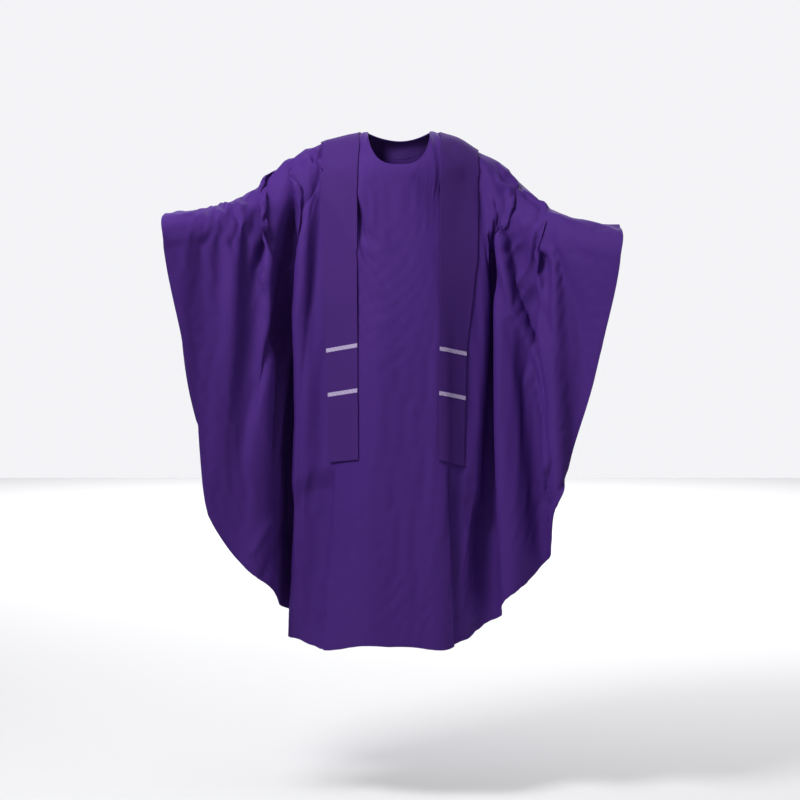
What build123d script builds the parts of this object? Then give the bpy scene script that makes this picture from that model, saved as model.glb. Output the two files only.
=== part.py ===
"""A full-cut chasuble with its matching stole worn over it, in the shape it takes on a wearer
whose arms are held out to the sides and a little forward.

The wearer faces -Y and stands along Z. Left and right are the wearer's: left is +X.
The origin is the centre of the neck opening, at the level of the shoulders' ridge.
All sizes are in millimetres."""

from math import asin, atan2, cos, pi, sin, sqrt
import os

from build123d import *

RIGHT, LEFT = -1, 1
SIDE_NAMES = {RIGHT: "right", LEFT: "left"}

# Cloth layers, measured outwards from the outer face of the chasuble cloth.
CLOTH = (-1.5, 0.0)
FACING = (-2.7, -1.7)
TAPE = (-3.0, -2.0)
STOLE_LINING = (0.4, 1.0)
STOLE_INTERLINING = (1.1, 1.9)
STOLE_FACE = (2.0, 2.8)
BRAID = (2.9, 3.9)

# Neck opening: an ellipse seen from above.
NECK_HALF_WIDTH = 84
NECK_HALF_DEPTH = 95
NECK_FACING_WIDTH = 45
NECK_FACING_DROP = 95

# The wing is the cloth over an arm. It starts past the stole and moves as the arm is raised.
WING_START = 215
JOINT_GAP = 0.25
TAPE_HALF_WIDTH = 8
EDGE_FACING_WIDTH = 18
EDGE_FACING_CORNERS = 24

# Lengths below the origin.
FRONT_LENGTH = 1100
BACK_LENGTH = 1115
BACK_OUTLINE_GROWTH = 5

# The stole's hanging ends, called falls.
FALL_INNER = 90
FALL_OUTER_TOP = 175
FALL_OUTER_END = 152
FALL_HINGE_DROP = 200
FALL_END_DROP = 700
FALL_END_SLANT = 0.19
BRAID_DROPS = {"upper": 456, "lower": 552}
BRAID_WIDTH = 10
# The lower edge of the neck piece behind: its height at the middle and out on the shoulders.
YOKE_BACK_MIDDLE = -35
YOKE_BACK_OUTER = 10

# One row per cross-section, at a distance x out from the middle:
# x, ridge y, ridge z, front rounding, back rounding, y of the front hem, y of the back hem.
STATIONS = (
    (0, 30, 50, 130, 110, -185, 175),
    (45, 30, 50, 129, 109, -184, 174),
    (90, 30, 40, 125, 105, -178, 168),
    (133, 30, 17, 112, 98, -168, 156),
    (178, 29, -3, 95, 86, -150, 138),
    (215, 24, -26, 80, 75, -128, 112),
    (255, 2, -69, 66, 66, -98, 78),
    (300, -38, -106, 60, 60, -110, 34),
    (345, -78, -137, 58, 58, -146, -10),
    (395, -122, -156, 56, 56, -186, -56),
    (450, -168, -170, 54, 54, -229, -106),
    (520, -226, -182, 52, 52, -286, -168),
)
HEM_LEVEL = -1150
SEAM_GAP = 0.1

# The right arm is held a little higher than the left one.
ARM_LIFT = {RIGHT: 17, LEFT: -17}
LIFT_STARTS, LIFT_FULL = 90, 215

# The side edge of each wing, from its tip down to the middle of the hem: (x, z).
SIDE_EDGES = {
    RIGHT: ((510, -150), (482, -364), (430, -687), (347, -921), (225, -1045)),
    LEFT: ((506, -180), (452, -364), (385, -690), (300, -915), (215, -1040)),
}
ABOVE_ALL = 150
BEYOND_ALL = 600
DEEP = 500


def ridge_lift(x, side):
    share = min(1.0, max(0.0, (x - LIFT_STARTS) / (LIFT_FULL - LIFT_STARTS)))
    return ARM_LIFT[side] * share


class Profile:
    """Half of a cross-section in a YZ plane: an arc over the arm or shoulder, then a straight fall."""

    def __init__(self, station, side, back):
        x, ridge_y, ridge_z, front_r, back_r, front_hem_y, back_hem_y = station
        self.x = side * x
        self.out = 1 if back else -1
        self.radius = back_r if back else front_r
        self.centre_y = ridge_y
        self.centre_z = ridge_z + ridge_lift(x, side) - self.radius
        across = ((back_hem_y if back else front_hem_y) - self.centre_y) * self.out
        down = HEM_LEVEL - self.centre_z
        reach = sqrt(across**2 + down**2)
        # The angle from the vertical at which the straight fall leaves the arc.
        self.turn = pi / 2 - atan2(down, across) - asin(sqrt(1 - (self.radius / reach) ** 2))
        self.fall = sqrt(reach**2 - self.radius**2)

    def on_arc(self, layer, angle):
        r = self.radius + layer
        return (self.x, self.centre_y + self.out * r * sin(angle), self.centre_z + r * cos(angle))

    def hem(self, layer):
        _, y, z = self.on_arc(layer, self.turn)
        y += self.out * self.fall * cos(self.turn)
        return (self.x, y, z - self.fall * sin(self.turn))

    def wire(self, layers, gap):
        inner, outer = layers
        start = gap / self.radius
        edges = []
        for layer in (outer, inner):
            arc = [self.on_arc(layer, start + (self.turn - start) * share) for share in (0, 0.5, 1)]
            edges.append((ThreePointArc(*arc), Line(arc[2], self.hem(layer)), arc[0]))
        (arc_out, fall_out, top_out), (arc_in, fall_in, top_in) = edges
        bottom = Line(self.hem(outer), self.hem(inner))
        top = Line(top_in, top_out)
        return Wire([arc_out, fall_out, bottom, fall_in, arc_in, top])

    def tape_wire(self, layers):
        """A narrow arc that straddles the ridge."""
        inner, outer = layers
        spread = TAPE_HALF_WIDTH / self.radius
        arc_out = [self.on_arc(outer, spread * share) for share in (-1, 0, 1)]
        arc_in = [self.on_arc(inner, spread * share) for share in (-1, 0, 1)]
        ends = [Line(arc_out[2], arc_in[2]), Line(arc_in[0], arc_out[0])]
        return Wire([ThreePointArc(*arc_out), ends[0], ThreePointArc(*arc_in), ends[1]])


def both_sides():
    """(station, side) of every cross-section, from the right wing's tip to the left one's."""
    right = [(station, RIGHT) for station in reversed(STATIONS[1:])]
    return right + [(station, LEFT) for station in STATIONS]


def shell(layers, back, gap=SEAM_GAP):
    """A whole front or back, from wing to wing, before its outline is cut."""
    wires = [Profile(station, side, back).wire(layers, gap) for station, side in both_sides()]
    return Solid.make_loft(wires, ruled=True)


def seam_tape(side):
    wires = [Profile(station, side, False).tape_wire(TAPE) for station in STATIONS[2:]]
    return Solid.make_loft(wires, ruled=True)


def prism(face):
    """A block that runs front to back, over an outline in the XZ plane."""
    return extrude(face, amount=DEEP, dir=(0, 1, 0), both=True)


def through_y(points):
    """A block that runs front to back, over an outline given by (x, z) corners."""
    corners = [(x, 0, z) for x, z in points]
    return prism(Face(Wire.make_polygon(corners, close=True)))


def cut_edge(growth, length):
    """The cut edge of a front or back, from the left wing's tip by the hem to the right tip."""
    left = [(x + growth, 0, z - growth) for x, z in SIDE_EDGES[LEFT]]
    right = [(-x - growth, 0, z - growth) for x, z in SIDE_EDGES[RIGHT]]
    return Spline(*left, (0, 0, -length), *reversed(right))


def inset(edge, width):
    """A curve that keeps a set distance inside a cut edge."""
    points = []
    for step in range(EDGE_FACING_CORNERS + 1):
        share = step / EDGE_FACING_CORNERS
        inward = Vector(0, 1, 0).cross(edge % share)
        points.append((edge @ share) + inward * width)
    return Spline(*points)


def inside_edge(edge):
    """The block inside a cut edge, running up past the shoulders."""
    left, right = edge @ 0, edge @ 1
    top_left, top_right = (left.X, 0, ABOVE_ALL), (right.X, 0, ABOVE_ALL)
    sides = [Line(top_left, left), Line(right, top_right), Line(top_right, top_left)]
    return prism(Face(Wire([sides[0], edge, sides[1], sides[2]])))


def neck_column(margin=0):
    ellipse = Ellipse(NECK_HALF_WIDTH + margin, NECK_HALF_DEPTH + margin)
    return extrude(ellipse, amount=DEEP, both=True)


def between(low_x, high_x, low_z=HEM_LEVEL - 50, high_z=ABOVE_ALL):
    return through_y([(low_x, low_z), (high_x, low_z), (high_x, high_z), (low_x, high_z)])


def zones():
    """The centre and the two wings, as blocks with a small gap where a wing slides past."""
    edge = WING_START + JOINT_GAP
    return {
        "centre": between(-WING_START + JOINT_GAP, WING_START - JOINT_GAP),
        RIGHT: between(-BEYOND_ALL, -edge),
        LEFT: between(edge, BEYOND_ALL),
    }


def save(shape, name):
    solids = shape.solids()
    kept = solids[0] if len(solids) == 1 else Compound(solids)
    export_step(kept, f"parts/{name}.step")
    print(f"{name}: {len(solids)} solid, {sum(s.volume for s in solids) / 1000:.1f} cm3")


def chasuble():
    """The cloth, its neck facings, and the facings behind its hem and side edges."""
    zone = zones()
    near_neck = between(-BEYOND_ALL, BEYOND_ALL, low_z=-NECK_FACING_DROP)
    neck_ring = (neck_column(NECK_FACING_WIDTH) - neck_column()) & near_neck
    for back, name in ((False, "front"), (True, "back")):
        edge = cut_edge(BACK_OUTLINE_GROWTH, BACK_LENGTH) if back else cut_edge(0, FRONT_LENGTH)
        whole = inside_edge(edge)
        cloth = shell(CLOTH, back) & whole
        lining = shell(FACING, back)
        border = (lining & whole) - inside_edge(inset(edge, EDGE_FACING_WIDTH))
        save((cloth - neck_column()) & zone["centre"], f"{name}_centre")
        save(border & zone["centre"], f"{name}_hem_facing")
        save(lining & neck_ring, f"{name}_neck_facing")
        for side, word in SIDE_NAMES.items():
            save(cloth & zone[side], f"{word}_{name}_wing")
            save(border & zone[side], f"{word}_{name}_edge_facing")


def tapes():
    """The tapes that cover the seam along the shoulders and arms, between the facings."""
    zone = zones()
    within = inside_edge(inset(cut_edge(0, FRONT_LENGTH), EDGE_FACING_WIDTH + 1))
    starts, ends = NECK_HALF_WIDTH + NECK_FACING_WIDTH + 1, WING_START - 1
    for side, word in SIDE_NAMES.items():
        low_x, high_x = sorted((side * starts, side * ends))
        save(seam_tape(side) & between(low_x, high_x), f"{word}_shoulder_tape")
        save(seam_tape(side) & zone[side] & within, f"{word}_arm_tape")


def fall_width(drop):
    """How far out a fall's outer edge is, at a distance below the origin."""
    share = max(0.0, (drop - FALL_HINGE_DROP) / (FALL_END_DROP - FALL_HINGE_DROP))
    return FALL_OUTER_TOP + (FALL_OUTER_END - FALL_OUTER_TOP) * share


def fall_band(side, top_drop, end_drop, slant_top=0.0, slant_end=0.0):
    """The outline of a stretch of fall. A slanted end is lower at its outer edge."""
    wide_top, wide_end = fall_width(top_drop), fall_width(end_drop)
    top_half, end_half = (wide_top - FALL_INNER) / 2, (wide_end - FALL_INNER) / 2
    points = [
        (side * FALL_INNER, -top_drop + slant_top * top_half),
        (side * wide_top, -top_drop - slant_top * top_half),
        (side * wide_end, -end_drop - slant_end * end_half),
        (side * FALL_INNER, -end_drop + slant_end * end_half),
    ]
    return through_y(points)


def yoke(layers):
    """The stole's neck piece: over both shoulders and round the back of the neck."""
    front = shell(layers, False, gap=0)
    back = shell(layers, True, gap=0)
    strips = [fall_band(side, -ABOVE_ALL, FALL_HINGE_DROP - JOINT_GAP) for side in SIDE_NAMES]
    outer_right, outer_left = (-FALL_OUTER_TOP, 0, YOKE_BACK_OUTER), (FALL_OUTER_TOP, 0, YOKE_BACK_OUTER)
    curve = ThreePointArc(outer_right, (0, 0, YOKE_BACK_MIDDLE), outer_left)
    top = Line((FALL_OUTER_TOP, 0, ABOVE_ALL), (-FALL_OUTER_TOP, 0, ABOVE_ALL))
    side_lines = [Line(curve @ 1, top @ 0), Line(top @ 1, curve @ 0)]
    crescent = back & prism(Face(Wire([curve, side_lines[0], top, side_lines[1]])))
    crescent -= neck_column(FALL_INNER - NECK_HALF_WIDTH)
    shoulders = [front & strip for strip in strips]
    return shoulders[0] + crescent + shoulders[1]


def stole():
    for layers, name in (
        (STOLE_LINING, "lining"),
        (STOLE_INTERLINING, "interlining"),
        (STOLE_FACE, "face"),
    ):
        save(yoke(layers), f"stole_yoke_{name}")
        cloth = shell(layers, False)
        for side, word in SIDE_NAMES.items():
            band = fall_band(
                side, FALL_HINGE_DROP + JOINT_GAP, FALL_END_DROP, slant_end=FALL_END_SLANT
            )
            save(cloth & band, f"{word}_fall_{name}")
    trim = shell(BRAID, False)
    for side, word in SIDE_NAMES.items():
        for place, drop in BRAID_DROPS.items():
            half = BRAID_WIDTH / 2
            band = fall_band(side, drop - half, drop + half, FALL_END_SLANT, FALL_END_SLANT)
            save(trim & band, f"{word}_{place}_braid")


os.makedirs("parts", exist_ok=True)
chasuble()
tapes()
stole()
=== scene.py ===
"""A full-cut chasuble with its matching stole, as worn with both arms held out.

The cloth is cut flat, laid over a plain figure and draped by simulation. The figure is then removed.
Flat places on the cloth are (u, v): u runs along the shoulder seam from the middle, v runs down from it."""

import math

import bpy
import numpy as np
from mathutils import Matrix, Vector, noise
from mathutils.bvhtree import BVHTree


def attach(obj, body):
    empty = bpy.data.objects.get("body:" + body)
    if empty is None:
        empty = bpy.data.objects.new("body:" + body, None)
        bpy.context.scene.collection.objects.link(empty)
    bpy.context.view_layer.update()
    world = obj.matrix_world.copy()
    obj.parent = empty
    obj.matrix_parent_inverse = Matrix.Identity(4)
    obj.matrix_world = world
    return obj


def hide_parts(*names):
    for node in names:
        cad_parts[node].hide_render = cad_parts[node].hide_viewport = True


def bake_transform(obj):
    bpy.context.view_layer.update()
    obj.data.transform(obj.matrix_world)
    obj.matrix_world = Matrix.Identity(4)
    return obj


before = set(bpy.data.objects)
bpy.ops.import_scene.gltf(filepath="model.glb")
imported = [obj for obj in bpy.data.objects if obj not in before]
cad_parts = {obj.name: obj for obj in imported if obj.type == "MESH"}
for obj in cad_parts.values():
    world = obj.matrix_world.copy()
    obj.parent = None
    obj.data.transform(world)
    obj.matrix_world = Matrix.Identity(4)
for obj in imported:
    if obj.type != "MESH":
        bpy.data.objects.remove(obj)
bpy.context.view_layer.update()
SIDES = {-1: "right", 1: "left"}

# ---------------------------------------------------------------- the figure and the way cloth lies on it

# x, ridge y, ridge z, front radius, back radius, front fall y, back fall y
STATIONS = np.array([
    (0, .030, .050, .130, .110, -.185, .175),
    (.045, .030, .050, .129, .109, -.184, .174),
    (.090, .030, .040, .125, .105, -.178, .168),
    (.133, .030, .017, .112, .098, -.168, .156),
    (.178, .029, -.003, .095, .086, -.150, .138),
    (.215, .024, -.026, .080, .075, -.128, .112),
    (.255, .002, -.069, .066, .066, -.098, .078),
    (.300, -.038, -.106, .060, .060, -.110, .034),
    (.345, -.078, -.137, .058, .058, -.146, -.010),
    (.395, -.122, -.156, .056, .056, -.186, -.056),
    (.450, -.168, -.170, .054, .054, -.229, -.106),
    (.520, -.226, -.182, .052, .052, -.286, -.168),
    (.560, -.259, -.189, .052, .052, -.319, -.204),
])
ARM_LIFT = {-1: .017, 1: -.017}
FALL_LEVEL = -1.15
SLACK = {-1: 1.10, 1: 1.145}


def between(a, b, c, d, t):
    """The smooth curve from b to c, with a before and d after them."""
    return 0.5 * ((2 * b) + (c - a) * t + (2 * a - 5 * b + 4 * c - d) * t * t + (3 * b - 3 * c + d - a) * t ** 3)


def with_ends(p):
    """The points with one more at each end, straight on."""
    return np.concatenate([2 * p[:1] - p[1:2], p, 2 * p[-1:] - p[-2:-1]])


def lengths(points):
    """How far along the line of points each one is."""
    return np.concatenate([[0], np.cumsum(np.linalg.norm(np.diff(points, axis=0), axis=1))])


def softened(values, times=60):
    values = values.copy()
    for _ in range(times):
        values[1:-1] = values[1:-1] * 0.5 + (values[:-2] + values[2:]) * 0.25
    return values


FINE_X = np.linspace(0, .56, 225)
TABLE = np.stack([softened(np.interp(FINE_X, STATIONS[:, 0], STATIONS[:, k])) for k in range(1, 7)], 1)
RIDGE = np.stack([FINE_X, TABLE[:, 0], TABLE[:, 1]], 1)
RUN = lengths(RIDGE)


def ease(t):
    t = min(1.0, max(0.0, t))
    return t * t * (3 - 2 * t)


def station(x, side):
    """ridge y, ridge z, front radius, back radius, front fall y, back fall y at a distance x out."""
    row = [float(np.interp(x, FINE_X, TABLE[:, k])) for k in range(6)]
    row[1] += ARM_LIFT[side] * min(1.0, max(0.0, (x - .09) / .125))
    return row


def hung(u, v, back):
    """Where a flat place lies if the cloth goes round the shoulder or arm and then straight down."""
    side = 1 if u >= 0 else -1
    x = float(np.interp(abs(u) / SLACK[side], RUN, FINE_X))
    ridge_y, ridge_z, front_r, back_r, front_y, back_y = station(x, side)
    r, out = (back_r, 1) if back else (front_r, -1)
    across, down = ((back_y if back else front_y) - ridge_y) * out, FALL_LEVEL - (ridge_z - r)
    reach = math.hypot(across, down)
    turn = math.pi / 2 - math.atan2(down, across) - math.asin(math.sqrt(1 - (r / reach) ** 2))
    angle = min(v / r, turn)
    rest = max(0.0, v - r * turn)
    y = ridge_y + out * (r * math.sin(angle) + rest * math.cos(turn))
    z = ridge_z - r + r * math.cos(angle) - rest * math.sin(turn)
    return np.array((side * x, y, z))


# Where the cloth's folds start, seen from above about 0.6 m below the seam: u, x, y
FOLD_PLAN = {
    (-1, False): [(0, 0, -.146), (.10, .100, -.144), (.17, .171, -.139), (.21, .211, -.128), (.238, .230, -.106),
                  (.27, .226, -.073), (.31, .212, -.038), (.335, .214, -.022), (.36, .230, -.026), (.40, .262, -.050),
                  (.45, .300, -.084), (.50, .340, -.112), (.55, .378, -.144), (.60, .416, -.178), (.65, .456, -.210),
                  (.70, .494, -.240), (.76, .543, -.275)],
    (1, False): [(0, 0, -.146), (.10, .100, -.144), (.15, .148, -.140), (.19, .182, -.124), (.22, .195, -.098),
                 (.255, .188, -.062), (.30, .176, -.022), (.325, .180, -.010), (.35, .196, -.016), (.39, .224, -.042),
                 (.44, .262, -.076), (.49, .298, -.102), (.54, .332, -.138), (.59, .366, -.162), (.65, .412, -.204),
                 (.70, .446, -.228), (.76, .494, -.262)],
    (-1, True): [(0, 0, .150), (.10, .095, .152), (.16, .155, .140), (.20, .186, .122), (.25, .212, .086),
                 (.29, .220, .050), (.33, .218, .014), (.37, .230, -.014), (.41, .258, -.012), (.45, .284, -.036),
                 (.50, .316, -.052), (.55, .346, -.090), (.60, .378, -.110), (.65, .412, -.148), (.70, .448, -.170),
                 (.76, .494, -.20)],
    (1, True): [(0, 0, .150), (.10, .095, .152), (.16, .155, .140), (.20, .186, .122), (.25, .210, .086),
                (.29, .216, .050), (.33, .212, .014), (.37, .222, -.014), (.41, .246, -.010), (.45, .264, -.040),
                (.50, .292, -.048), (.55, .310, -.088), (.60, .340, -.104), (.65, .368, -.142), (.70, .402, -.162),
                (.76, .444, -.20)],
}
# Further folds of the wings: side, from (u, v), to (u, v), half-width, how far back it goes (less than 0: forward)
WING_FOLDS = [
    (-1, (.285, .03), (.52, .68), .026, .062),
    (-1, (.340, .03), (.57, .62), .024, -.018),
    (-1, (.400, .01), (.460, .20), .014, .020),
    (-1, (.485, .02), (.500, .45), .018, -.007),
    (1, (.275, .03), (.520, .52), .022, -.024),
    (1, (.320, .05), (.580, .48), .020, .030),
    (1, (.455, .01), (.520, .22), .013, .026),
    (1, (.400, .30), (.610, .62), .020, .018),
    (1, (.600, .60), (.480, .70), .013, .018),
]


def spline_at(points, u):
    p = np.array(points, float)
    q = with_ends(p)
    k = int(np.clip(np.searchsorted(p[:, 0], u) - 1, 0, len(p) - 2))
    t = (u - p[k, 0]) / (p[k + 1, 0] - p[k, 0])
    return between(*q[k:k + 4], t)


def line_weight(place, start, end, half_width):
    """1 on a line between two flat places, fading to 0 at its sides and ends."""
    p, a, b = np.array(place), np.array(start), np.array(end)
    d = b - a
    t = float((p - a) @ d / (d @ d))
    off = abs(float((p - a) @ np.array((-d[1], d[0])))) / math.hypot(*d)
    ends = ease((t + .12) / .25) * ease((1.12 - t) / .35)
    return math.exp(-(off / half_width) ** 2) * ends


def laid(u, v, back):
    """Where a flat place lies before the drape, with the main folds begun."""
    p = hung(u, v, back)
    side = 1 if u >= 0 else -1
    ref = hung(u, 0.6, back)
    aim = spline_at(FOLD_PLAN[side, back], abs(u))
    grown = ease((v - .03) / .30)
    narrow = 1 - (.24 if side < 0 else .32) * (1 - min(1.0, v / 1.1)) * ease((.42 - abs(u)) / .14)
    p[0] += grown * (side * aim[1] * narrow - ref[0])
    p[1] += grown * (aim[2] - ref[1])
    if not back:
        for fold_side, start, end, half_width, depth in WING_FOLDS:
            if fold_side == side:
                p[1] += depth * line_weight((abs(u), v), start, end, half_width)
    return p


def figure():
    """The plain figure the cloth is draped on: neck, shoulders, arms, trunk and skirt."""
    parts = []

    def ball(centre, radius):
        bpy.ops.mesh.primitive_ico_sphere_add(subdivisions=3, radius=radius, location=centre)
        parts.append(bpy.context.object)

    gap = .006
    for side in SIDES:
        for x in np.linspace(.10, .60, 56):
            held = min(x, .56)
            ridge_y, ridge_z, front_r, back_r = station(held, side)[:4]
            r = min(front_r, back_r) - gap
            if x < .2:
                r = min(r, .075)
            ball((side * x, ridge_y - (x - held) * .83, ridge_z - gap - r), r)
    for z in (-.02, .02, .06):
        ball((0, .02, z), .058)
    levels = ((-.06, .105, .060, .085), (-.10, .130, .085, .100), (-.16, .142, .100, .110), (-.22, .144, .112, .112),
              (-.30, .142, .120, .108), (-.40, .144, .128, .105), (-.50, .150, .132, .108), (-.62, .160, .136, .114),
              (-.74, .170, .140, .120), (-.90, .182, .145, .128), (-1.1, .194, .152, .138), (-1.3, .203, .158, .146))
    count, power = 48, 2 / 2.6
    verts = []
    for z, half_width, front, behind in levels:
        for k in range(count):
            c, s = math.cos(2 * math.pi * k / count), math.sin(2 * math.pi * k / count)
            x = half_width * math.copysign(abs(c) ** power, c)
            y = (front + behind) / 2 * math.copysign(abs(s) ** power, s) + (behind - front) / 2 + .004
            verts.append((x, y, z))
    faces = [tuple(range(count)), tuple((len(levels) - 1) * count + i for i in reversed(range(count)))]
    for k in range(len(levels) - 1):
        for i in range(count):
            j = (i + 1) % count
            faces.append(((k + 1) * count + i, (k + 1) * count + j, k * count + j, k * count + i))
    trunk = bpy.data.meshes.new("trunk")
    trunk.from_pydata(verts, [], faces)
    parts.append(bpy.data.objects.new("trunk", trunk))
    bpy.context.scene.collection.objects.link(parts[-1])
    bpy.ops.object.select_all(action="DESELECT")
    for part in parts:
        part.select_set(True)
    bpy.context.view_layer.objects.active = parts[0]
    bpy.ops.object.join()
    body = bpy.context.object
    bpy.ops.object.transform_apply(location=True, rotation=True, scale=True)
    skin = body.modifiers.new("skin", "REMESH")
    skin.mode, skin.voxel_size = "VOXEL", .012
    body.modifiers.new("even", "SMOOTH").iterations = 6
    for name in ("skin", "even"):
        bpy.ops.object.modifier_apply(modifier=name)
    return body


# ---------------------------------------------------------------- the cut

TIP_U = .725
SIDE_CUT = [(.725, 0), (.732, .06), (.730, .167), (.716, .30), (.692, .435), (.660, .572), (.630, .675), (.592, .747),
            (.530, .835), (.460, .915)]
HEM_CUT = [(0, 1.240), (.10, 1.233), (.145, 1.213), (.19, 1.174), (.235, 1.140), (.31, 1.055), (.39, .982),
           (.460, .915)]
# How much wider than SIDE_CUT each side is: v, u
WIDER = {
    (-1, False): [(0, -.004), (.30, -.004), (.50, .006), (.70, .056), (.85, .075), (.915, .060)],
    (-1, True): [(0, -.004), (.20, -.030), (.50, -.050), (.75, -.100), (.915, -.095)],
    (1, False): [(0, -.020), (.30, -.002), (.50, -.002), (.62, -.002), (.75, -.014), (.835, -.048), (.915, -.052)],
    (1, True): [(0, -.020), (.20, -.050), (.50, -.090), (.65, -.135), (.80, -.180), (.915, -.165)],
}
BACK_LONGER = .010
NECK_U, NECK_FRONT, NECK_BACK = .084, .168, .0695
NECK_POWER = {False: .66, True: 1.0}
COLS, ROWS, NECK_COLS = 44, 62, 8


def even_points(points, count):
    """count + 1 points at even spacing along a smooth curve through the given ones."""
    p = np.array(points, float)
    q = with_ends(p)
    curve = [p[0]] + [between(*q[k:k + 4], t) for k in range(len(p) - 1) for t in np.linspace(0, 1, 21)[1:]]
    curve = np.array(curve)
    s = lengths(curve)
    g = np.linspace(0, s[-1], count + 1)
    return np.stack([np.interp(g, s, curve[:, 0]), np.interp(g, s, curve[:, 1])], 1)


def half_cut(back, side):
    """(u, v) of each row and column of the +u half of a front or back."""
    edge, hem = even_points(SIDE_CUT, ROWS), even_points(HEM_CUT, COLS)
    wider = np.array(WIDER[side, back])
    edge[:, 0] += np.interp(edge[:, 1], wider[:, 0], wider[:, 1])
    hem[:, 0] *= edge[-1, 0] / hem[-1, 0]
    if back:
        grow = np.linspace(0, 1, ROWS + 1)
        edge[:, 1] += BACK_LONGER * grow ** 2
        hem[:, 1] += BACK_LONGER
    neck = NECK_BACK if back else NECK_FRONT
    top = np.zeros((COLS + 1, 2))
    for i in range(COLS + 1):
        if i <= NECK_COLS:
            a = math.pi / 2 * i / NECK_COLS
            top[i] = (NECK_U * math.sin(a) ** NECK_POWER[back], neck * max(0.0, math.cos(a)) ** NECK_POWER[back])
        else:
            top[i, 0] = NECK_U + (TIP_U - NECK_U) * (i - NECK_COLS) / (COLS - NECK_COLS)
    centre = np.stack([np.zeros(ROWS + 1), np.linspace(neck, hem[0, 1], ROWS + 1)], 1)
    cut = np.zeros((ROWS + 1, COLS + 1, 2))
    for j in range(ROWS + 1):
        t = j / ROWS
        b = np.array([1 - (1 - t) ** 4, t])
        for i in range(COLS + 1):
            a = i / COLS
            p = (1 - b) * top[i] + b * hem[i] + (1 - a) * centre[j] + a * edge[j]
            cut[j, i] = p - (1 - a) * ((1 - b) * top[0] + b * hem[0]) - a * ((1 - b) * top[-1] + b * hem[-1])
    return cut


def whole_cut(back):
    right, left = (half_cut(back, side) for side in SIDES)
    return np.concatenate([right[:, :0:-1] * (-1, 1), left], axis=1)


def drape():
    """The front and back as grids of points, draped. Returns {back: (points, flat)}."""
    cuts = {back: whole_cut(back) for back in (False, True)}
    verts, flat, ids = [], [], {}
    for back in (False, True):
        for j in range(ROWS + 1):
            for i in range(2 * COLS + 1):
                shared = j == 0 and abs(i - COLS) >= NECK_COLS
                if back and shared:
                    ids[back, j, i] = ids[False, j, i]
                    continue
                u, v = cuts[back][j, i]
                ids[back, j, i] = len(verts)
                verts.append(laid(u, v, back))
                flat.append((u, v if back else -v, 0.0))
    faces = []
    for back in (False, True):
        for j in range(ROWS):
            for i in range(2 * COLS):
                face = [ids[back, j, i], ids[back, j, i + 1], ids[back, j + 1, i + 1], ids[back, j + 1, i]]
                faces.append(face if back else face[::-1])
    mesh = bpy.data.meshes.new("drape")
    mesh.from_pydata([tuple(p) for p in verts], [], faces)
    cloth = bpy.data.objects.new("drape", mesh)
    bpy.context.scene.collection.objects.link(cloth)
    settled = np.array(verts)
    cloth.shape_key_add(name="start")
    key = cloth.shape_key_add(name="flat")
    key.data.foreach_set("co", np.array(flat, np.float32).ravel())
    key.value = 0
    pins = cloth.vertex_groups.new(name="pins")
    for (back, j, i), k in ids.items():
        if abs(i - COLS) <= NECK_COLS + 1 and j <= 1:
            pins.add([k], 1.0, "REPLACE")
        elif abs(flat[k][0]) > .60 and abs(flat[k][1]) < .012:
            pins.add([k], .9, "REPLACE")
    settled = simulate(cloth, key)
    bpy.data.objects.remove(cloth)
    grids = {}
    for back in (False, True):
        points = np.array([[settled[ids[back, j, i]] for i in range(2 * COLS + 1)] for j in range(ROWS + 1)])
        grids[back] = (points, cuts[back])
    return grids


SETTLE_FRAMES = 30


def simulate(cloth, rest):
    body = figure()
    body.modifiers.new("collision", "COLLISION")
    body.collision.thickness_outer, body.collision.cloth_friction, body.collision.damping = .004, 12, .6
    cloth_mod = cloth.modifiers.new("cloth", "CLOTH")
    s = cloth_mod.settings
    s.quality, s.mass, s.air_damping = 7, .3, 2.0
    s.tension_stiffness, s.compression_stiffness = 25, 25
    s.shear_stiffness, s.bending_stiffness = 8, 1.2
    s.tension_damping, s.compression_damping = 15, 15
    s.shear_damping, s.bending_damping = 8, 2.0
    s.vertex_group_mass, s.pin_stiffness = "pins", 20
    s.rest_shape_key = rest
    cloth_mod.collision_settings.collision_quality = 3
    cloth_mod.collision_settings.distance_min = .004
    scene = bpy.context.scene
    cloth_mod.point_cache.frame_start, cloth_mod.point_cache.frame_end = 1, SETTLE_FRAMES
    for f in range(1, SETTLE_FRAMES + 1):
        scene.frame_set(f)
    settled = cloth.evaluated_get(bpy.context.evaluated_depsgraph_get()).to_mesh()
    co = np.zeros(len(settled.vertices) * 3, np.float32)
    settled.vertices.foreach_get("co", co)
    bpy.data.objects.remove(body)
    scene.frame_set(1)
    return co.reshape(-1, 3).astype(float)


# ---------------------------------------------------------------- the cloth made fine

ACROSS, DOWN = 3, 2
SPLIT = 60
NECK = NECK_COLS * ACROSS
CLOTH, FACING, LINING = .0012, .0008, .0009


def finer(grid, times):
    """The grid with each step along its first axis cut into this many, along smooth curves."""
    q = with_ends(grid)
    out = np.zeros(((len(grid) - 1) * times + 1,) + grid.shape[1:])
    for k in range(times):
        out[k:-1:times] = between(q[:-3], q[1:-2], q[2:-1], q[3:], k / times)
    out[-1] = grid[-1]
    return out


def fine(grid):
    return finer(finer(grid, DOWN).swapaxes(0, 1), ACROSS).swapaxes(0, 1)


def smooth(t):
    t = np.clip(t, 0, 1)
    return t * t * (3 - 2 * t)


def along(points):
    """Unit normals of a grid: the step across crossed with the step down."""
    n = np.cross(np.gradient(points, axis=1), np.gradient(points, axis=0))
    return n / np.maximum(np.linalg.norm(n, axis=2, keepdims=True), 1e-12)


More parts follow.
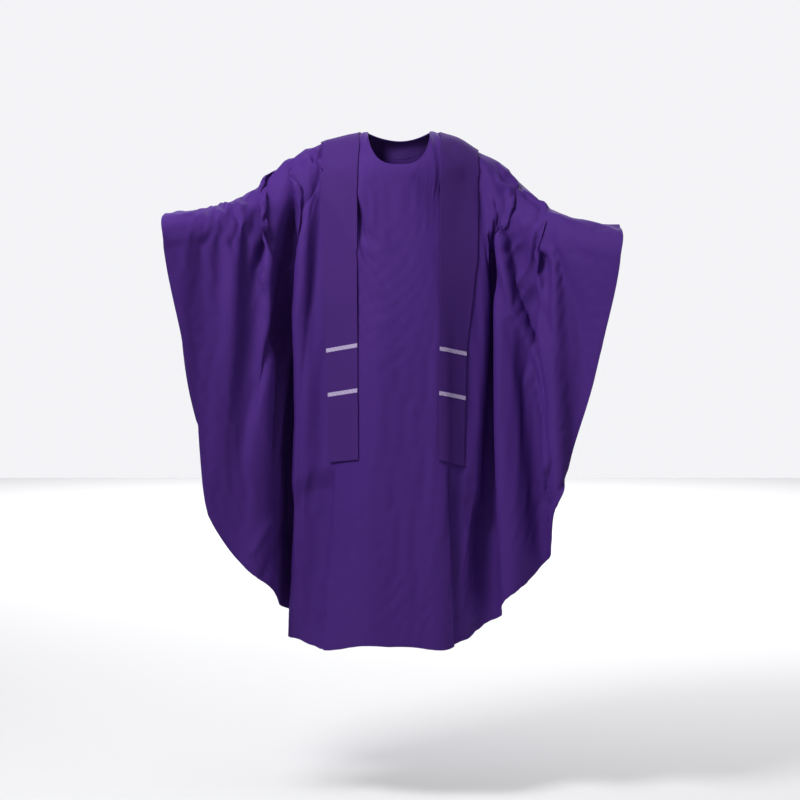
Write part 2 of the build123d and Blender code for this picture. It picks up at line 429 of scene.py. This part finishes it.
# Creases as seen from the front, in steps of 2.3 mm right of the middle and up from the eye's height: half-width in
# steps, how far forward in mm (less than 0: back), then the points of the line
STEP = .0023
EYE_BACK, EYE_HEIGHT, SEEN_FROM = 4.47, -.48, 4.5
CREASES = [
    (5.5, -15, [(-102, 209), (-104, 153), (-115, 86), (-123, 29), (-146, -38), (-160, -121)]),
    (6, 8, [(-92, 189), (-92, 153), (-100, 67), (-109, 10), (-119, -48)]),
    (6, 9, [(-115, 183), (-117, 163), (-134, 86), (-149, 48), (-158, 9)]),
    (6, -5, [(-134, 183), (-134, 117), (-144, 96), (-154, 49)]),
    (5, -5, [(-170, 163), (-161, 138), (-155, 105), (-157, 59)]),
    (5, -3, [(-152, 169), (-152, 157), (-146, 134)]),
    (8, 6, [(-166, 134), (-166, 59), (-167, -1), (-172, -61)]),
    (4, 4, [(-148, -194), (-136, -173), (-123, -151)]),
    (4, -4, [(-136, -218), (-124, -186), (-110, -149)]),
    (5, -7, [(-80, 159), (-80, 143), (-86, 67), (-96, -10), (-102, -59), (-99, -219)]),
    (7, 8, [(90, 199), (94, 175), (100, 95), (119, 48), (138, 0), (150, -41)]),
    (6, -9, [(104, 187), (113, 153), (126, 80), (152, 19), (168, -31)]),
    (4.5, -8, [(148, 154), (148, 145), (145, 86), (150, 49)]),
    (5, -5, [(121, 175), (123, 159), (132, 119)]),
    (5, -6, [(170, -119), (154, -139), (137, -153)]),
    (6, -8, [(76, 204), (84, 149), (94, 89), (108, 29), (122, -31)]),
    (7, 6, [(162, 144), (168, 79), (174, 9), (168, -61)]),
]


def near_line(x, z, line, half_width):
    """1 on a line of points, fading to 0 at its sides and towards its lower end."""
    best, where = np.full(x.shape, 1e9), np.zeros(x.shape)
    steps = [math.dist(a, b) for a, b in zip(line, line[1:])]
    total, done = sum(steps), 0.0
    for (ax, az), (bx, bz), step in zip(line, line[1:], steps):
        t = ((x - ax) * (bx - ax) + (z - az) * (bz - az)) / step ** 2
        held = np.clip(t, 0, 1)
        off = np.hypot(x - ax - held * (bx - ax), z - az - held * (bz - az))
        closer = off < best
        best, where = np.where(closer, off, best), np.where(closer, (done + held * step) / total, where)
        done += step
    return np.exp(-(best / half_width) ** 2) * smooth((1 - where) / .45)


# The front's two pressed pleats: how far out at the right, how far out at the left and where, how deep, where they
# begin, and where the cloth behind them has come forward again
PLEAT_RIGHT, PLEAT_LEFT, PLEAT_SLANT, PLEAT_AT = .149, .130, .060, .848
PLEAT_DEEP, PLEAT_FROM, PLEAT_FADED = .012, .80, .30


def pleated(flat, points, back):
    """How far each fine point is moved out of the cloth, for the folds too small for the drape."""
    u, v = flat[..., 0], flat[..., 1]
    if back:
        wave = .006 * np.cos(u * 34 + .6) * smooth((v - .25) / .5) * smooth((.30 - abs(u)) / .10)
    else:
        wave = .007 * (np.exp(-((u + .05) / .042) ** 2) + np.exp(-((u - .108) / .026) ** 2))
        wave *= smooth((v - .30) / .35)
        fold = np.where(u < 0, PLEAT_RIGHT, PLEAT_LEFT + PLEAT_SLANT * (v - PLEAT_AT))
        behind = smooth((abs(u) - fold + .002) / .004) * smooth((PLEAT_FADED - abs(u)) / .08)
        wave -= PLEAT_DEEP * behind * smooth((v - PLEAT_FROM) / .06)
    scale = SEEN_FROM / (EYE_BACK + points[..., 1]) / STEP
    x, z = points[..., 0] * scale, (points[..., 2] - EYE_HEIGHT) * scale
    near_top = .25 * np.exp(-(v / .05) ** 2) if back else .15 + .85 * smooth(v / .24)
    for half_width, height, line in CREASES:
        wave = wave + height * .001 * near_line(x, z, line, half_width) * near_top
    soft = [noise.noise(Vector((a * 9, b * 4, 7.0 if back else 2.0))) for a, b in zip(u.ravel(), v.ravel())]
    return wave + .0016 * np.array(soft).reshape(u.shape) * smooth((abs(u) - .10) / .1)


cloth = {}
for back, (points, flat) in drape().items():
    out = 1 if back else -1
    points, flat = fine(points), fine(flat)
    points = points + along(points) * out * pleated(flat, points, back)[..., None]
    cloth[back] = [points, flat, None]
middle = cloth[False][0].shape[1] // 2
shoulder = abs(np.arange(2 * middle + 1) - middle) >= NECK
ridge = (cloth[False][0][0] + cloth[True][0][0]) / 2
for back in cloth:
    cloth[back][0][0][shoulder] = ridge[shoulder]
    cloth[back][2] = along(cloth[back][0]) * (1 if back else -1)
ridge = cloth[False][2][0] + cloth[True][2][0]
ridge /= np.linalg.norm(ridge, axis=1, keepdims=True)
for back in cloth:
    cloth[back][2][0][shoulder] = ridge[shoulder]


def shell(name, points, normals, flat, material, mask=None, lift=0.0, thick=CLOTH):
    """A closed layer of cloth over the chosen squares of a grid, its outer face lifted off the grid by lift."""
    rows, cols = points.shape[0] - 1, points.shape[1] - 1
    mask = np.ones((rows, cols), bool) if mask is None else mask
    index = -np.ones((rows + 1, cols + 1), int)
    quads = []
    for j, i in zip(*np.nonzero(mask)):
        quads.append(((j, i), (j, i + 1), (j + 1, i + 1), (j + 1, i)))
    used = sorted({corner for quad in quads for corner in quad})
    for k, corner in enumerate(used):
        index[corner] = k
    pick = tuple(np.array(used).T)
    p, n, uv = points[pick], normals[pick], flat[pick]
    turned = float(np.mean(np.einsum("jik,jik->ji", along(points), normals)[pick])) < 0
    count = len(used)
    outer = [[int(index[c]) for c in (quad[::-1] if turned else quad)] for quad in quads]
    sides = {}
    for quad in outer:
        sides.update(dict.fromkeys(zip(quad, quad[1:] + quad[:1])))
    rims = [[b, a, a + count, b + count] for a, b in sides if (b, a) not in sides]
    faces = outer + [[k + count for k in reversed(quad)] for quad in outer] + rims
    mesh = bpy.data.meshes.new(name)
    mesh.from_pydata(np.concatenate([p + n * lift, p + n * (lift - thick)]).tolist(), [], faces)
    layer = mesh.uv_layers.new(name="UVMap")
    corners = np.array([k for face in faces for k in face])
    layer.data.foreach_set("uv", uv[corners % count].astype(np.float32).ravel())
    mesh.polygons.foreach_set("use_smooth", [True] * len(faces))
    split = np.where((corners < count)[:, None], n[corners % count], -n[corners % count])
    start = 8 * len(outer)
    for k, (b, a, _, _) in enumerate(rims):
        along_rim = p[a] - p[b]
        side = np.cross(along_rim, n[a] + n[b])
        split[start + 4 * k:start + 4 * k + 4] = -side / max(np.linalg.norm(side), 1e-12)
    mesh.normals_split_custom_set(split.tolist())
    mesh.materials.append(material)
    obj = bpy.data.objects.new(name, mesh)
    bpy.context.scene.collection.objects.link(obj)
    return obj


def cut_area(flat, mask=None):
    """The flat area of the chosen squares, and the width and length they were cut from."""
    a, b, c, d = flat[:-1, :-1], flat[:-1, 1:], flat[1:, 1:], flat[1:, :-1]
    p, q = c - a, d - b
    area = abs(p[..., 0] * q[..., 1] - p[..., 1] * q[..., 0]) / 2
    mask = np.ones(area.shape, bool) if mask is None else mask
    used = np.zeros(flat.shape[:2], bool)
    for dj in (0, 1):
        for di in (0, 1):
            used[dj:dj + mask.shape[0], di:di + mask.shape[1]] |= mask
    span = np.ptp(flat[used], axis=0)
    return float(area[mask].sum()), (float(span[0]), float(span[1]))


def inset_line(points, normals, distance):
    """Points and normals on a grid at a distance from its first row."""
    length = np.concatenate([np.zeros((1, points.shape[1])),
                             np.cumsum(np.linalg.norm(np.diff(points, axis=0), axis=2), axis=0)])
    line = np.zeros((points.shape[1], 6))
    for i in range(points.shape[1]):
        for k in range(3):
            line[i, k] = np.interp(distance, length[:, i], points[:, i, k])
            line[i, 3 + k] = np.interp(distance, length[:, i], normals[:, i, k])
    return line


STITCH, STITCH_GAP, STITCH_WIDE, STITCH_HIGH = .0028, .0012, .0007, .00045


def stitching(name, lines, material):
    """A row of stitches along each line of points and normals."""
    verts, faces = [], []
    for line in lines:
        s = lengths(line[:, :3])
        at = np.arange(.004, s[-1] - .004, STITCH + STITCH_GAP)
        ends = [np.stack([np.interp(at + d, s, line[:, k]) for k in range(6)], 1) for d in (0, STITCH / 2, STITCH)]
        for a, m, b in zip(*ends):
            n = m[3:] / np.linalg.norm(m[3:])
            side = np.cross(n, b[:3] - a[:3])
            side *= STITCH_WIDE / 2 / max(np.linalg.norm(side), 1e-12)
            k, low, high = len(verts), -n * .0001, n * STITCH_HIGH
            verts += [a[:3] + low, m[:3] + side + low, b[:3] + low, m[:3] - side + low, m[:3] + high, m[:3] + low]
            faces += [(k, k + 1, k + 4), (k + 1, k + 2, k + 4), (k + 2, k + 3, k + 4), (k + 3, k, k + 4),
                      (k + 1, k, k + 5), (k + 2, k + 1, k + 5), (k + 3, k + 2, k + 5), (k, k + 3, k + 5)]
    mesh = bpy.data.meshes.new(name)
    mesh.from_pydata([tuple(v) for v in verts], [], faces)
    mesh.materials.append(material)
    obj = bpy.data.objects.new(name, mesh)
    bpy.context.scene.collection.objects.link(obj)
    return obj


# ---------------------------------------------------------------- materials


def scaled(nodes, links, socket, by):
    scale = nodes.new("ShaderNodeMath")
    scale.operation = "MULTIPLY"
    links.new(socket, scale.inputs[0])
    scale.inputs[1].default_value = by
    return scale.outputs[0]


def woven(name, deep, light, pitch, sheen, roughness, grain=.35, zigzag=False):
    """Cloth with crossing threads, a soft sheen and slow changes of colour. pitch is the thread spacing in metres."""
    mat = bpy.data.materials.new(name)
    mat.use_nodes = True
    nodes, links = mat.node_tree.nodes, mat.node_tree.links
    bsdf = nodes["Principled BSDF"]
    place = nodes.new("ShaderNodeTexCoord")

    def texture(kind, **sockets):
        t = nodes.new(kind)
        links.new(place.outputs["UV"], t.inputs["Vector"])
        for key, value in sockets.items():
            t.inputs[key].default_value = value
        return t

    def mixed(a, b, by, mode="MIX"):
        m = nodes.new("ShaderNodeMix")
        m.data_type, m.blend_type = "RGBA", mode
        for socket, value in ((m.inputs[6], a), (m.inputs[7], b), (m.inputs[0], by)):
            if isinstance(value, bpy.types.NodeSocket):
                links.new(value, socket)
            else:
                socket.default_value = value
        return m.outputs[2]

    slow = texture("ShaderNodeTexNoise", Scale=3.2, Detail=3.0)
    fine_grain = texture("ShaderNodeTexNoise", Scale=420.0, Detail=2.0)
    worn = texture("ShaderNodeTexNoise", Scale=34.0, Detail=4.0)
    warp = texture("ShaderNodeTexWave", Scale=.314 / pitch, Distortion=1.2)
    weft = texture("ShaderNodeTexWave", Scale=.314 / pitch, Distortion=1.2)
    warp.bands_direction, weft.bands_direction = "X", "Y"
    base = mixed((*deep, 1), (*light, 1), slow.outputs["Fac"])
    darker = tuple(c * .72 for c in deep)
    base = mixed(base, (*darker, 1), scaled(nodes, links, fine_grain.outputs["Fac"], grain))
    base = mixed(base, (*light, 1), scaled(nodes, links, worn.outputs["Fac"], .16))
    if zigzag:
        rib = texture("ShaderNodeTexWave", Scale=60.0, Distortion=0.0)
        rib.bands_direction, rib.wave_profile = "DIAGONAL", "TRI"
        base = mixed(base, (*tuple(c * .62 for c in deep), 1), scaled(nodes, links, rib.outputs["Fac"], .5))
    links.new(base, bsdf.inputs["Base Color"])
    threads = nodes.new("ShaderNodeMath")
    threads.operation = "MULTIPLY"
    links.new(warp.outputs["Fac"], threads.inputs[0])
    links.new(weft.outputs["Fac"], threads.inputs[1])
    both = nodes.new("ShaderNodeMath")
    both.operation = "ADD"
    links.new(scaled(nodes, links, threads.outputs[0], .35), both.inputs[0])
    links.new(fine_grain.outputs["Fac"], both.inputs[1])
    bump = nodes.new("ShaderNodeBump")
    bump.inputs["Strength"].default_value = .35
    bump.inputs["Distance"].default_value = .0003
    links.new(both.outputs[0], bump.inputs["Height"])
    links.new(bump.outputs["Normal"], bsdf.inputs["Normal"])
    bsdf.inputs["Roughness"].default_value = roughness
    bsdf.inputs["Specular IOR Level"].default_value = .18
    bsdf.inputs["Sheen Weight"].default_value = sheen
    bsdf.inputs["Sheen Roughness"].default_value = .45
    bsdf.inputs["Sheen Tint"].default_value = (*(min(1.0, c * 2.2) for c in light), 1)
    return mat


PURPLE, PURPLE_LIGHT = (.060, .0165, .182), (.074, .022, .220)
crepe = woven("chasuble_cloth", PURPLE, PURPLE_LIGHT, .0009, .14, .78)
facing = woven("facing_cloth", (.060, .020, .170), (.072, .026, .200), .0009, .10, .85)
tape = woven("seam_tape", (.050, .017, .140), (.060, .022, .165), .0007, .05, .80)
stole_cloth = woven("stole_cloth", (.056, .0165, .156), (.066, .021, .182), .0008, .10, .86, grain=.25)
stole_lining = woven("stole_lining", (.052, .018, .145), (.060, .021, .160), .0006, .05, .55)
braid_weave = woven("braid", (.50, .40, .66), (.66, .56, .80), .0010, .15, .60, zigzag=True)
thread = woven("chasuble_thread", (.034, .012, .105), (.045, .016, .130), .0004, .05, .60)

# ---------------------------------------------------------------- the chasuble


def bend_wing(obj):
    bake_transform(obj)


def column_mask(rows, first, last):
    mask = np.zeros((rows, 2 * middle), bool)
    mask[:, first:last] = True
    return mask


ROW_COUNT = cloth[False][0].shape[0] - 1
WINGS = {-1: (0, middle - SPLIT), 1: (middle + SPLIT, 2 * middle)}
HEM_ROWS, EDGE_COLS, NECK_ROWS = 2, 3, 5
STRIP_WIDE, NECK_FACING_WIDE = .018, .043
sheets = []
for back, (points, flat, normals) in cloth.items():
    word = "back" if back else "front"
    centre = column_mask(ROW_COUNT, middle - SPLIT, middle + SPLIT)
    hem_band = centre.copy()
    hem_band[:-HEM_ROWS] = False
    neck_band = column_mask(ROW_COUNT, middle - NECK, middle + NECK)
    neck_band[NECK_ROWS:] = False
    piece = shell(f"{word}_centre_cloth", points, normals, flat, crepe, centre)
    hem = shell(f"{word}_hem_facing_cloth", points, normals, flat, facing, hem_band, -CLOTH, FACING)
    neck = shell(f"{word}_neck_facing_cloth", points, normals, flat, facing, neck_band, -CLOTH, FACING)
    upside, turned = points[::-1], normals[::-1]
    span = slice(middle - SPLIT, middle + SPLIT + 1)
    rows_of_stitches = [inset_line(upside[:12, span], turned[:12, span], .0075)]
    span = slice(middle - NECK, middle + NECK + 1)
    rows_of_stitches.append(inset_line(points[:12, span], normals[:12, span], .011))
    sewn = stitching(f"{word}_centre_stitches", rows_of_stitches, thread)
    for obj, node, slot in ((piece, f"{word}_centre", "chasuble_cloth"), (hem, f"{word}_hem_facing", "facing_cloth"),
                            (neck, f"{word}_neck_facing", "facing_cloth"), (sewn, None, "chasuble_cloth")):
        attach(obj, "torso")
        if node:
            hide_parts(node)
    sheets += [(piece, centre, flat, "draped", [f"{word}_neck_facing_cloth"], [sewn]),
               (hem, hem_band, flat, "draped", [piece.name], []), (neck, neck_band, flat, "draped", [piece.name], [])]
    for side, (first, last) in WINGS.items():
        name = f"{SIDES[side]}_{word}"
        wing = column_mask(ROW_COUNT, first, last)
        strip = wing.copy()
        inner = slice(first + EDGE_COLS, last) if side < 0 else slice(first, last - EDGE_COLS)
        strip[:-HEM_ROWS, inner] = False
        strip[0] = False
        piece = shell(f"{name}_wing_cloth", points, normals, flat, crepe, wing)
        edge = shell(f"{name}_edge_facing_cloth", points, normals, flat, facing, strip, -CLOTH, FACING)
        span = slice(first, last + 1)
        lines = [inset_line(upside[:12, span], turned[:12, span], .0075)]
        step = 1 if side < 0 else -1
        across, across_n = points[:, ::step][:, :12].swapaxes(0, 1), normals[:, ::step][:, :12].swapaxes(0, 1)
        lines.append(inset_line(across, across_n, .0075))
        sewn = stitching(f"{name}_wing_stitches", lines, thread)
        for obj, node, slot in ((piece, f"{name}_wing", "chasuble_cloth"),
                                (edge, f"{name}_edge_facing", "facing_cloth"), (sewn, None, "chasuble_cloth")):
            bend_wing(obj)
            if node:
                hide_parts(node)
        sheets += [(piece, wing, flat, "draped", [f"{word}_centre_cloth"], [sewn]),
                   (edge, strip, flat, "draped", [piece.name], [])]

TAPE_ROWS = 1
over = [np.concatenate([cloth[True][k][TAPE_ROWS:0:-1], cloth[False][k][:TAPE_ROWS + 1]]) for k in range(3)]
over[1] = over[1].copy()
over[1][:TAPE_ROWS, :, 1] *= -1
for side, (first, last) in WINGS.items():
    word = SIDES[side]
    ends = (middle + side * (NECK + 1), middle + side * SPLIT)
    spans = {f"{word}_shoulder_tape": (min(ends), max(ends)), f"{word}_arm_tape": (first, last)}
    for node, (a, b) in spans.items():
        mask = column_mask(2 * TAPE_ROWS, a, b)
        strip = shell(f"{node}_strip", over[0], over[2], over[1], tape, mask, -CLOTH - FACING, .0007)
        if "arm" in node:
            bend_wing(strip)
        else:
            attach(strip, "torso")
        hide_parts(node)
        sheets.append((strip, mask, over[1], "draped", ["front_centre_cloth"], []))

for obj, mask, flat, held, on, extra in sheets:
    area, size = cut_area(flat, mask)
    if "tape" in obj.name:
        area = sum(polygon.area for polygon in obj.data.polygons) / 2
    if "tape" in obj.name or "facing" in obj.name:
        wide = NECK_FACING_WIDE if "neck" in obj.name else STRIP_WIDE
        size = (wide, area / wide)

# ---------------------------------------------------------------- the stole

STOLE_CLEAR = .0018
LINING_TOP, FACE_TOP = .0010, .0024
NECK_IN, NECK_OUT = (.090, .0755), (.175, .150)
# z and distance from the middle, down the inner and the outer edge of each fall
FALL_EDGES = {
    -1: ([(0, .090), (-.13, .095), (-.34, .095), (-.70, .091)], [(0, .175), (-.13, .178), (-.46, .164), (-.70, .155)]),
    1: ([(0, .090), (-.25, .089), (-.70, .084)], [(0, .175), (-.25, .173), (-.46, .148), (-.70, .1415)]),
}
YOKE_END = -.172
# z at the inner and the outer edge: the end of the fall, then its two braids
FALL_ENDS = {-1: (-.702, -.710), 1: (-.703, -.717)}
BRAIDS = {-1: {"upper": (-.449, -.461), "lower": (-.549, -.560)},
          1: {"upper": (-.4565, -.468), "lower": (-.555, -.567)}}
STOLE_COLS, NECK_STEPS, CHEST_STEPS, FALL_STEPS = 14, 26, 18, 70
# How many columns either side of the middle it can lie over, and how low its lines are followed
NEAR = 47
FRONT_LOW, BACK_LOW = -.75, -.32


def profile(x, back, low):
    """(length, y, z) down the cloth at x from the neck or shoulder, bridging hollows as a stiff band does."""
    points = cloth[back][0][:, middle - NEAR:middle + NEAR + 1]
    path = []
    for row in points:
        xs = np.maximum.accumulate(row[:, 0])
        y, z = np.interp(x, xs, row[:, 1]), np.interp(x, xs, row[:, 2])
        if z < low:
            break
        path.append((y, z))
    out = 1 if back else -1
    chain = []
    for y, z in path:
        if chain and z >= chain[-1][1]:
            continue
        while len(chain) > 1:
            (ay, az), (by, bz) = chain[-2:]
            if ((by - ay) * (az - z) - (y - ay) * (az - bz)) * out < 0:
                chain.pop()
            else:
                break
        chain.append((y, z))
    chain = np.array(chain)
    s = lengths(chain)
    if abs(x) < NECK_U:
        power = NECK_POWER[back]
        s += (NECK_BACK if back else NECK_FRONT) * (1 - (abs(x) / NECK_U) ** (2 / power)) ** (power / 2)
    return s, chain[:, 0], chain[:, 1]


known = {}


def on_profile(x, back, low):
    key = (round(x * 1000), back, low)
    if key not in known:
        known[key] = profile(key[0] / 1000, back, low)
    return known[key]


def at_length(x, t):
    """On the taut line at x, a length t down the front from the shoulder seam, or down the back if t is below 0."""
    s, y, z = on_profile(x, t < 0, FRONT_LOW if t >= 0 else BACK_LOW)
    return x, float(np.interp(abs(t), s, y)), float(np.interp(abs(t), s, z))


def at_height(x, z):
    s, ys, zs = on_profile(x, False, FRONT_LOW)
    return x, float(np.interp(-z, -zs, ys)), z


def fall_x(side, z, a):
    inner, outer = (np.array(edge) for edge in FALL_EDGES[side])
    near, far = np.interp(-z, -inner[:, 0], inner[:, 1]), np.interp(-z, -outer[:, 0], outer[:, 1])
    return side * (near + (far - near) * a)


def half_stole(side):
    """Rows of points from the middle of the back to the end of the fall, with their flat places."""
    rows = []
    across = np.linspace(0, 1, STOLE_COLS + 1)
    for k in range(NECK_STEPS + 1):
        angle = math.pi / 2 * k / NECK_STEPS
        row = []
        for a in across:
            wide, deep = (NECK_IN[d] + (NECK_OUT[d] - NECK_IN[d]) * a for d in (0, 1))
            x, t = side * wide * math.sin(angle), -deep * math.cos(angle)
            row.append((at_length(x, min(t, -1e-6)), (x, t)))
        rows.append(row)
    for k in range(1, CHEST_STEPS + 1):
        row = []
        for a in across:
            x = fall_x(side, YOKE_END * k / CHEST_STEPS, a)
            s, _, zs = on_profile(x, False, FRONT_LOW)
            t = float(np.interp(-YOKE_END, -zs, s)) * k / CHEST_STEPS
            row.append((at_length(x, t), (x, t)))
        rows.append(row)
    for k in range(1, FALL_STEPS + 1):
        row = []
        for a in across:
            near, far = FALL_ENDS[side]
            z = YOKE_END + (near + (far - near) * a - YOKE_END) * k / FALL_STEPS
            x = fall_x(side, z, a)
            s, _, zs = on_profile(x, False, FRONT_LOW)
            row.append((at_height(x, z), (x, float(np.interp(-z, -zs, s)))))
        rows.append(row)
    return np.array([[p for p, _ in row] for row in rows]), np.array([[f for _, f in row] for row in rows])


def cloth_tree():
    verts, polys = [], []
    for back in (False, True):
        points = cloth[back][0]
        rows, cols = points.shape[:2]
        start = len(verts)
        verts += [tuple(p) for p in points.reshape(-1, 3)]
        for j in range(rows - 1):
            for i in range(cols - 1):
                a = start + j * cols + i
                quad = (a, a + 1, a + 1 + cols, a + cols)
                polys.append(quad if back else quad[::-1])
    return BVHTree.FromPolygons(verts, polys)


tree = cloth_tree()


def clear_of_cloth(points, gap):
    points = points.copy()
    flat = points.reshape(-1, 3)
    for k, p in enumerate(flat):
        near, normal, _, _ = tree.find_nearest(Vector(p))
        height = (Vector(p) - near).dot(normal)
        if height < gap:
            flat[k] = Vector(p) + normal * (gap - height)
    return points


def evened(points, times):
    for _ in range(times):
        held = points.copy()
        held[1:-1] = points[1:-1] * .5 + (points[:-2] + points[2:]) * .25
        across = held.copy()
        across[:, 1:-1] = held[:, 1:-1] * .5 + (held[:, :-2] + held[:, 2:]) * .25
        points = across
    return points


halves = {side: half_stole(side) for side in SIDES}
band = np.concatenate([halves[-1][0][:0:-1], halves[1][0]])
band_flat = np.concatenate([halves[-1][1][:0:-1], halves[1][1]])
for _ in range(3):
    shape = evened(band, 5)
    shape[..., 0] = band[..., 0]
    band = clear_of_cloth(shape, STOLE_CLEAR)
band_normals = along(evened(band, 2))
centre_row = len(band) // 2
if band_normals[centre_row, STOLE_COLS // 2, 1] < 0:
    band_normals = -band_normals
yoke_rows = NECK_STEPS + CHEST_STEPS
ranges = {"stole_yoke": (centre_row - yoke_rows, centre_row + yoke_rows),
          "right_fall": (0, centre_row - yoke_rows), "left_fall": (centre_row + yoke_rows, len(band) - 1)}
for node, (first, last) in ranges.items():
    rows = slice(first, last + 1)
    side = {"right_fall": -1, "left_fall": 1}.get(node, 0)
    args = (band[rows], band_normals[rows], band_flat[rows])
    face = shell(f"{node}_face_cloth", *args, stole_cloth, None, FACE_TOP, FACE_TOP - LINING_TOP - .0001)
    lining = shell(f"{node}_lining_cloth", *args, stole_lining, None, LINING_TOP, LINING)
    for obj, names, slot in ((face, (f"{node}_face", f"{node}_interlining"), "stole_cloth"),
                             (lining, (f"{node}_lining",), "stole_lining")):
        if side:
            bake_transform(obj)
        else:
            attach(obj, "stole")
        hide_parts(*names)
        area, size = cut_area(args[2])
        on = "front_centre_cloth" if obj is lining else lining.name
    if not side:
        continue
    for which, (near, far) in BRAIDS[side].items():
        grid, normal = np.zeros((7, STOLE_COLS + 1, 3)), np.zeros((7, STOLE_COLS + 1, 3))
        for i in range(STOLE_COLS + 1):
            level = near + (far - near) * i / STOLE_COLS
            order = np.argsort(args[0][:, i, 2])
            for j, off in enumerate(np.linspace(.0044, -.0044, 7)):
                for k in range(3):
                    grid[j, i, k] = np.interp(level + off, args[0][order, i, 2], args[0][order, i, k])
                    normal[j, i, k] = np.interp(level + off, args[0][order, i, 2], args[1][order, i, k])
        crown = np.sin(np.linspace(0, math.pi, 7))[:, None, None] * .0004
        grid = grid + normal * crown
        flat = np.stack([grid[..., 0], grid[..., 2]], 2)
        braid = shell(f"{SIDES[side]}_{which}_braid_band", grid, normal, flat, braid_weave, None,
                      FACE_TOP + .0007, .0008)
        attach(braid, node)
        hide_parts(f"{SIDES[side]}_{which}_braid")
        area, size = cut_area(flat)

# ---------------------------------------------------------------- studio

scene = bpy.context.scene
FLOOR = -1.48


def plain(name, colour):
    mat = bpy.data.materials.new(name)
    mat.use_nodes = True
    bsdf = mat.node_tree.nodes["Principled BSDF"]
    bsdf.inputs["Base Color"].default_value = (*colour, 1)
    bsdf.inputs["Roughness"].default_value = .9
    return mat


bpy.ops.mesh.primitive_plane_add(size=17, location=(0, 3.5, FLOOR))
floor = bpy.context.object
floor.name = "floor"
floor.data.materials.append(plain("pale_floor", (.84, .84, .85)))

# Pale behind the object and dimmer all round, so that the folds keep their shade
world = bpy.data.worlds.new("pale")
world.use_nodes = True
world_nodes, world_links = world.node_tree.nodes, world.node_tree.links
where = world_nodes.new("ShaderNodeTexCoord")
parts = world_nodes.new("ShaderNodeSeparateXYZ")
shade = world_nodes.new("ShaderNodeMapRange")
shade.interpolation_type = "SMOOTHSTEP"
for socket, value in (("From Min", .55), ("From Max", .9), ("To Min", .11), ("To Max", .93)):
    shade.inputs[socket].default_value = value
world_links.new(where.outputs["Generated"], parts.inputs[0])
world_links.new(parts.outputs["Y"], shade.inputs["Value"])
world_links.new(shade.outputs["Result"], world_nodes["Background"].inputs["Strength"])
world_nodes["Background"].inputs["Color"].default_value = (.97, .97, 1.0, 1)
scene.world = world
scene.view_settings.view_transform = "Standard"


def lamp(name, place, aim, size, power):
    light = bpy.data.lights.new(name, "AREA")
    light.size, light.energy = size, power
    obj = bpy.data.objects.new(name, light)
    obj.location = place
    obj.rotation_euler = (Vector(aim) - Vector(place)).to_track_quat("-Z", "Y").to_euler()
    scene.collection.objects.link(obj)


lamp("key", (-1.1, -1.4, 1.25), (0, 0, -.3), .6, 50)
lamp("fill", (2.6, -3.0, .4), (0, 0, -.4), 2.4, 4)
lamp("back", (1.5, 3.2, 2.2), (0, 0, -.4), 2.2, 60)
lamp("floor_light", (0, 8, 3.4), (0, 8.01, FLOOR), 9, 650)
lamp("floor_front", (0, -1.2, 2.6), (0, -1.21, FLOOR), 2.5, 20)

lens = bpy.data.cameras.new("camera")
lens.lens, lens.sensor_width, lens.shift_y = 88, 36, -.051
camera = bpy.data.objects.new("camera", lens)
camera.location, camera.rotation_euler = (0, -EYE_BACK, EYE_HEIGHT), (math.radians(90), 0, 0)
scene.collection.objects.link(camera)
scene.camera = camera

bpy.context.view_layer.update()
